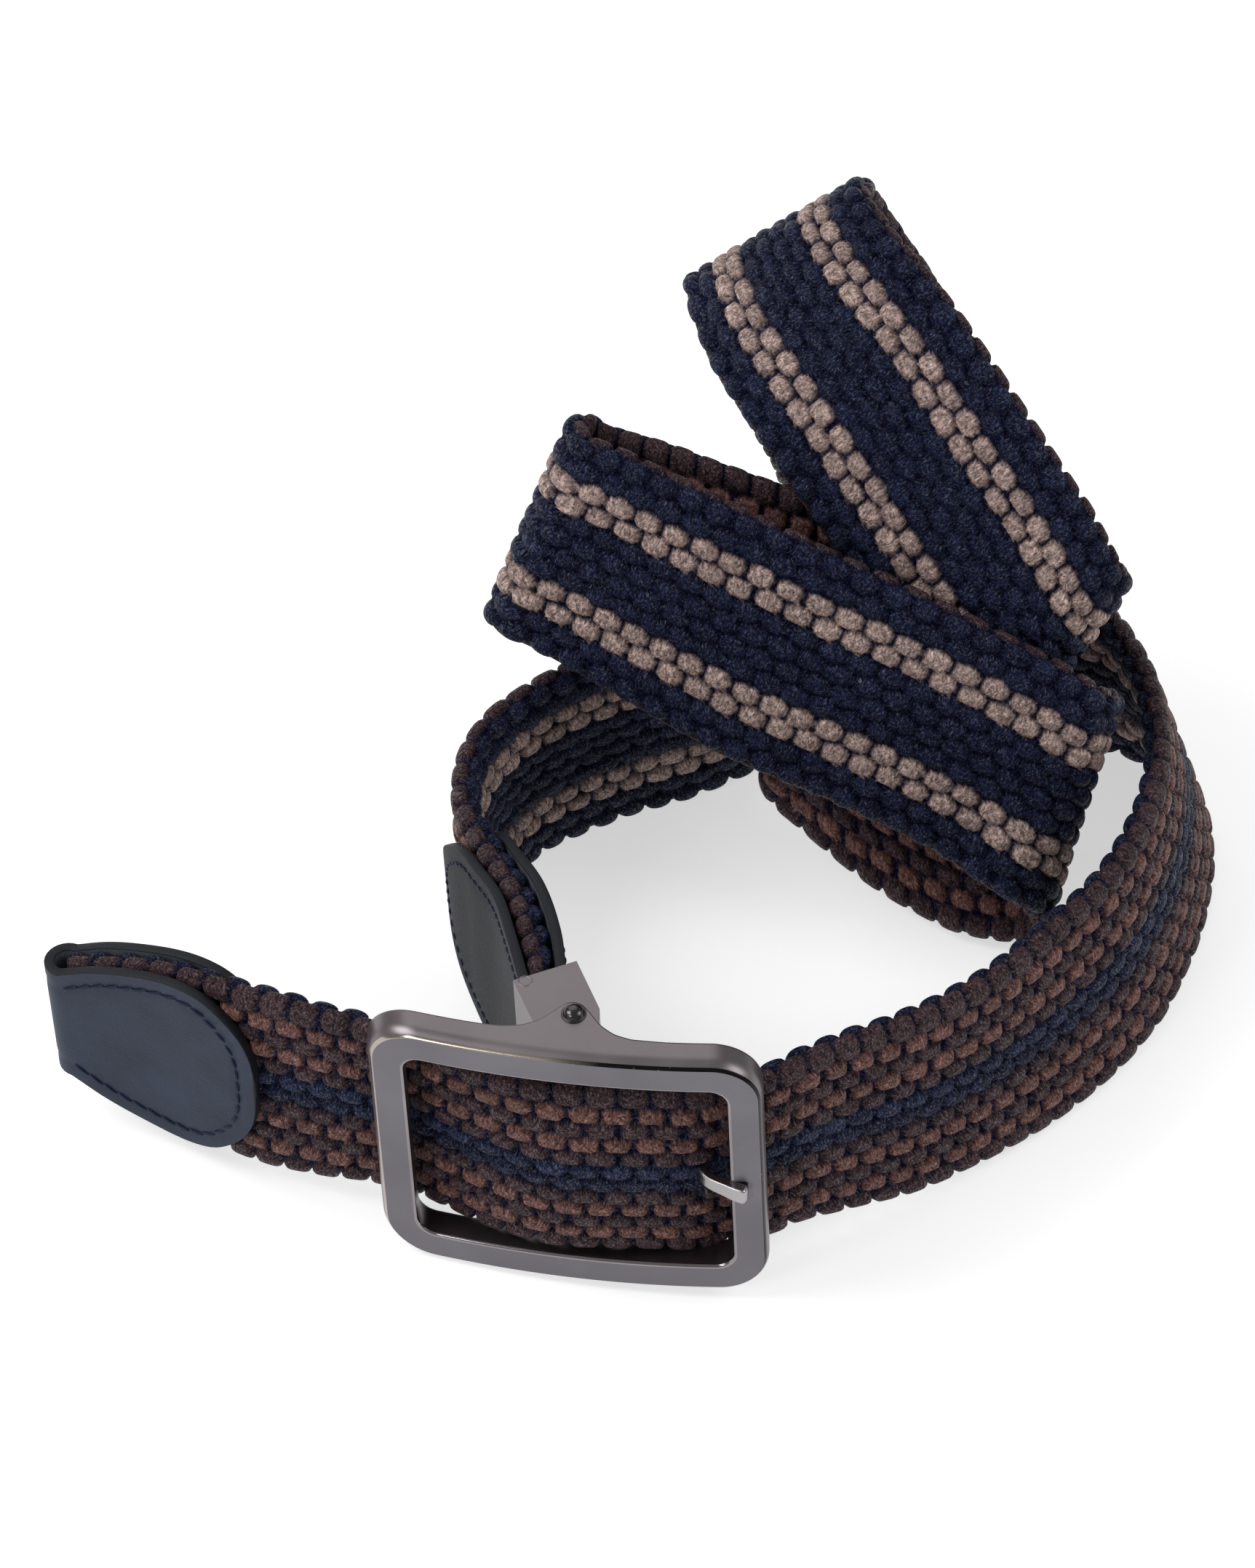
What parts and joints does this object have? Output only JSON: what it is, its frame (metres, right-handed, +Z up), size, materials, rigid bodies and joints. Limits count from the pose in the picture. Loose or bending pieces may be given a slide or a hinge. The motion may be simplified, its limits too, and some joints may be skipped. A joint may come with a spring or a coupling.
{
  "type": "braided belt",
  "caption": "Braided stretch belt lying folded over itself, with a rectangular metal frame buckle, a hinged end clip and stitched leather end tabs.",
  "frame": {"origin": "middle of the bottom of the box around the whole belt as it lies", "axes": "+Z up from the surface, +X to the viewer's right, +Y away from the viewer, the buckle's front facing -Y"},
  "size_m": [0.1682, 0.1366, 0.0957],
  "materials": {
    "strap": "braided textured yarn in brown and navy rows, with taupe rows on the other face",
    "tip_tab": "slate navy leather with stitched rim and dark cut edges",
    "clip_tab": "slate navy leather with stitched rim and dark cut edges",
    "buckle_frame": "satin gunmetal",
    "swivel_clip": "satin gunmetal",
    "pivot_pin": "dark polished rivet head",
    "tongue": "satin gunmetal"
  },
  "bodies": {
    "root": {"strap": "strap", "tip_tab": "tip_tab", "clip_tab": "clip_tab", "buckle_frame": "buckle_frame", "swivel_clip": "swivel_clip", "pivot_pin": "pivot_pin", "tongue": "tongue"}
  },
  "joints": []
}
